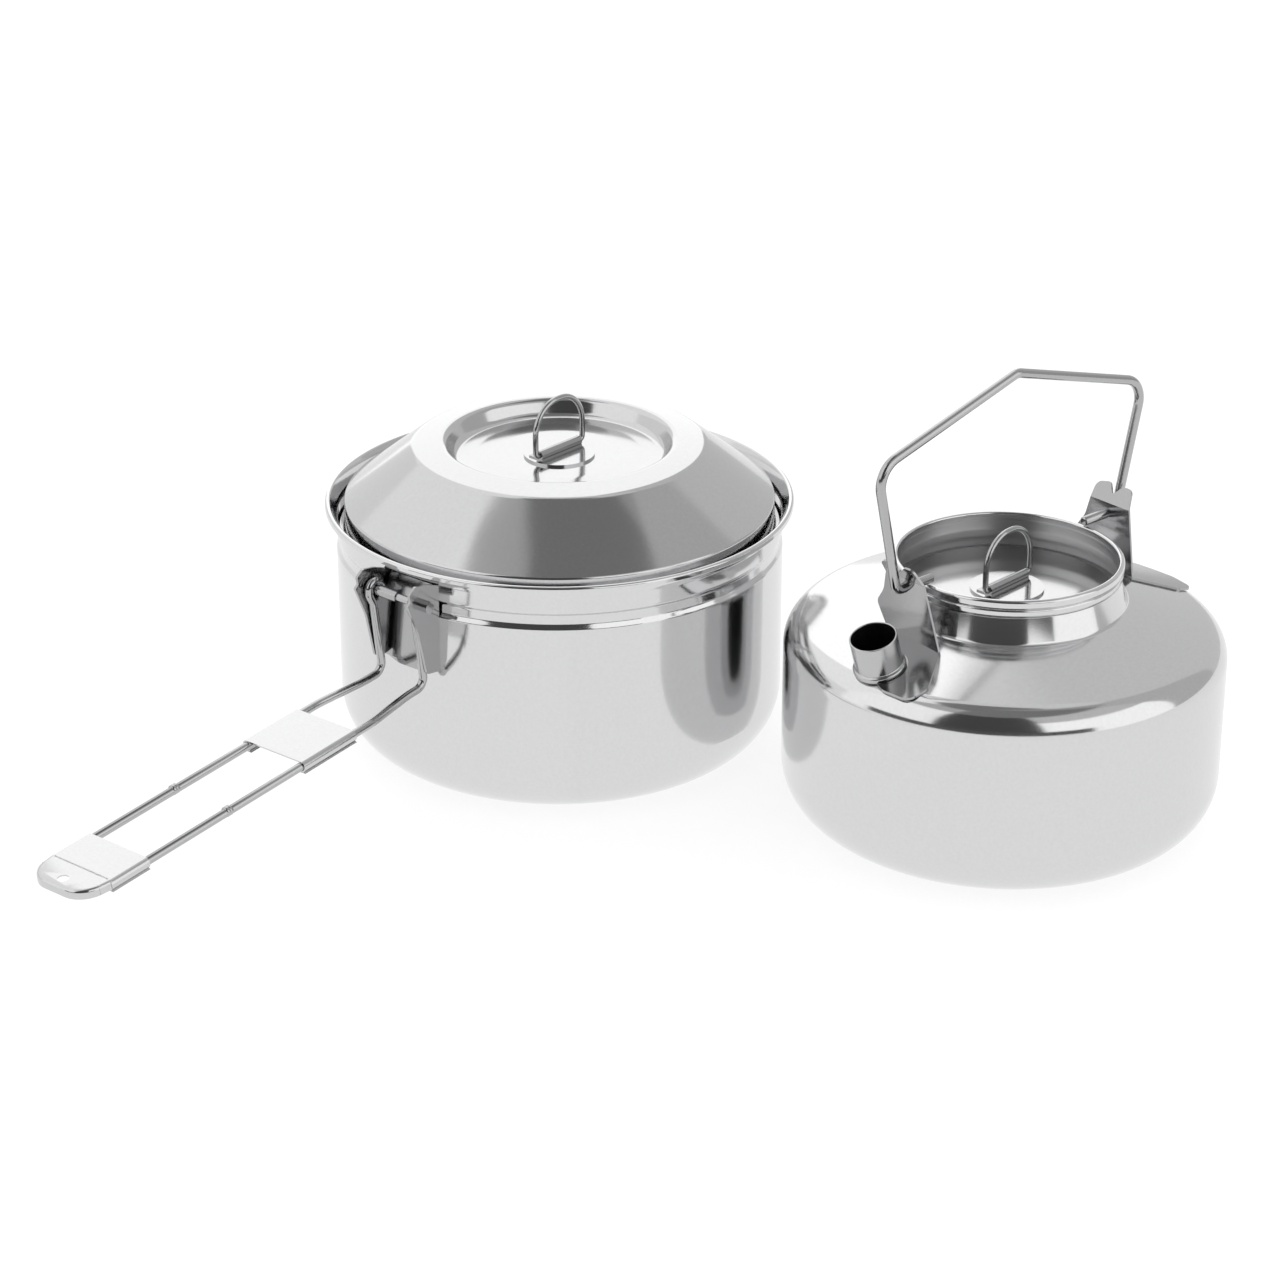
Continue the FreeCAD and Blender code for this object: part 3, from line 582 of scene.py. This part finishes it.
def make_bail():
    corners = [
        (-37.8, BAIL_HEIGHT),
        (-54.0, BAIL_HEIGHT, 3),
        (-64.4, 144.4, 9),
        (0, 162.9, 6),
        (64.4, 144.4, 9),
        (54.0, BAIL_HEIGHT, 3),
        (37.8, BAIL_HEIGHT),
    ]
    path = [Vector((p.x, 0, p.y)) for p in rounded(corners)]
    bm = wire(path, BAIL_WIRE)
    shown("bail_bent", bm, "bail", ["kettle_bail"], WIRE_STEEL, place=KETTLE)


# ---------------------------------------------------------------- CAD nodes that stay

KEPT = {
    "handle_bracket": (STAMPED, 0.2),
    "hinge_pin": (WIRE_STEEL, 0.2),
    "hinge_spacer": (STAMPED, 0.15),
    "pot_lid_ring_plate": (LID_STEEL, 0.2),
    "pot_lid_ring_clip": (WIRE_STEEL, 0.1),
    "kettle_spout": (BRUSHED, 0.0),
    "bail_bracket_near": (STAMPED, 0.2),
    "bail_bracket_far": (STAMPED, 0.2),
    "kettle_lid": (LID_STEEL, 0.1),
    "kettle_lid_ring_plate": (LID_STEEL, 0.2),
    "kettle_lid_ring_clip": (WIRE_STEEL, 0.1),
}


def dress(node, material, edge):
    piece = frame["nodes"][node]
    piece.data.materials.clear()
    piece.data.materials.append(material)
    if edge:
        soften(piece, edge, 2)


# ---------------------------------------------------------------- studio

# Panels of the studio as steel sees them: bearings and heights in degrees, and brightness.
PANELS = {
    "camera_side": ((-179, -124), (1, 62), 0.07),
    "near_right_low": ((-124, -55), (0, 42), 1.25),
    "near_right_high": ((-124, -55), (42, 62), 0.62),
    "right": ((-55, -20), (0, 62), 0.54),
    "far_right": ((-20, 26), (0, 62), 0.68),
    "behind": ((26, 62), (0, 62), 1.45),
    "left_low": ((62, 128), (0, 24), 0.92),
    "left_high": ((62, 128), (24, 76), 1.08),
    "near_left": ((128, 181), (0, 62), 1.15),
    "near_left_high": ((128, 181), (62, 76), 0.5),
    "far_high": ((-30, 62), (62, 76), 0.76),
    "ceiling_front": ((-179, -50), (62, 90), 0.22),
    "ceiling_right": ((-50, -30), (62, 90), 0.4),
    "ceiling_back": ((-30, 181), (76, 90), 0.22),
}
LOW_PANEL = ((-214, -100), (1, 13), 0.09)
PANEL_RADIUS = 4.0


def make_panel(name, bearings, heights, brightness, radius=PANEL_RADIUS):
    """A patch of a large sphere that only shows in reflections."""
    bm = bmesh.new()
    across, up = 24, 12
    grid = []
    for i in range(across + 1):
        a = math.radians(bearings[0] + (bearings[1] - bearings[0]) * i / across)
        column = []
        for j in range(up + 1):
            e = math.radians(heights[0] + (heights[1] - heights[0]) * j / up)
            flat = radius * math.cos(e)
            column.append(bm.verts.new((flat * math.cos(a), flat * math.sin(a), radius * math.sin(e))))
        grid.append(column)
    for i in range(across):
        for j in range(up):
            bm.faces.new((grid[i][j], grid[i + 1][j], grid[i + 1][j + 1], grid[i][j + 1]))
    mesh = bpy.data.meshes.new(name)
    bm.to_mesh(mesh)
    bm.free()
    panel = bpy.data.objects.new(name, mesh)
    bpy.context.scene.collection.objects.link(panel)
    material = bpy.data.materials.new(name)
    material.use_nodes = True
    nodes = material.node_tree.nodes
    nodes.clear()
    glow = nodes.new("ShaderNodeEmission")
    glow.inputs["Strength"].default_value = brightness
    out = nodes.new("ShaderNodeOutputMaterial")
    material.node_tree.links.new(glow.outputs["Emission"], out.inputs["Surface"])
    mesh.materials.append(material)
    panel.visible_camera = False
    panel.visible_diffuse = False
    panel.visible_shadow = False
    panel.visible_transmission = False


def make_world():
    world = bpy.data.worlds.new("studio")
    bpy.context.scene.world = world
    world.use_nodes = True
    world.node_tree.nodes["Background"].inputs["Color"].default_value = (1, 1, 1, 1)
    world.node_tree.nodes["Background"].inputs["Strength"].default_value = 1.08


def make_floor(name, depth, shade, glow):
    """A pale floor; depth is how far it lies under the steel, in metres."""
    bm = bmesh.new()
    bmesh.ops.create_grid(bm, x_segments=1, y_segments=1, size=6.0)
    mesh = bpy.data.meshes.new(name)
    bm.to_mesh(mesh)
    bm.free()
    floor = bpy.data.objects.new(name, mesh)
    bpy.context.scene.collection.objects.link(floor)
    material = bpy.data.materials.new(name)
    material.use_nodes = True
    shader = material.node_tree.nodes["Principled BSDF"]
    shader.inputs["Base Color"].default_value = (shade, shade, shade, 1)
    shader.inputs["Roughness"].default_value = 0.9
    shader.inputs["Specular IOR Level"].default_value = 0.1
    shader.inputs["Emission Color"].default_value = (1, 1, 1, 1)
    shader.inputs["Emission Strength"].default_value = glow
    mesh.materials.append(material)
    floor.location.z = -depth
    return floor


def make_floors():
    """The floor that is looked at is white mostly by its own glow; the reflected one is pale and matt."""
    seen = make_floor("floor", 0.0002, 0.25, 0.8)
    seen.visible_glossy = False
    reflected = make_floor("floor_in_reflections", 0.0004, 0.86, 0.06)
    reflected.visible_camera = False
    reflected.visible_diffuse = False
    reflected.visible_shadow = False


CAMERA_AT = Vector((-0.8912, -0.7545, 0.5708))
CAMERA_TARGET = Vector((0.0161, -0.0198, 0.0380))


def make_camera():
    camera = bpy.data.objects.new("camera", bpy.data.cameras.new("camera"))
    bpy.context.scene.collection.objects.link(camera)
    camera.data.lens = 100
    camera.data.sensor_width = 36
    camera.location = CAMERA_AT
    camera.rotation_euler = (CAMERA_TARGET - camera.location).to_track_quat("-Z", "Y").to_euler()
    bpy.context.scene.camera = camera


# ---------------------------------------------------------------- build

make_pot()
make_pot_lid()
make_ring("pot_lid", "pot_cover", POT_LID)
make_handle_wire("handle_wire_left", 1)
make_handle_wire("handle_wire_right", -1)
make_slider()
make_grip()
make_kettle()
make_bail()
make_ring("kettle_lid", "kettle_cover", KETTLE_LID)
for node, (material, edge) in KEPT.items():
    dress(node, material, edge)
make_world()
for name, (bearings, heights, brightness) in PANELS.items():
    make_panel(name, bearings, heights, brightness)
make_panel("camera_side_low", *LOW_PANEL, radius=PANEL_RADIUS * 0.95)
make_floors()
make_camera()
bpy.context.scene.view_settings.view_transform = "Standard"
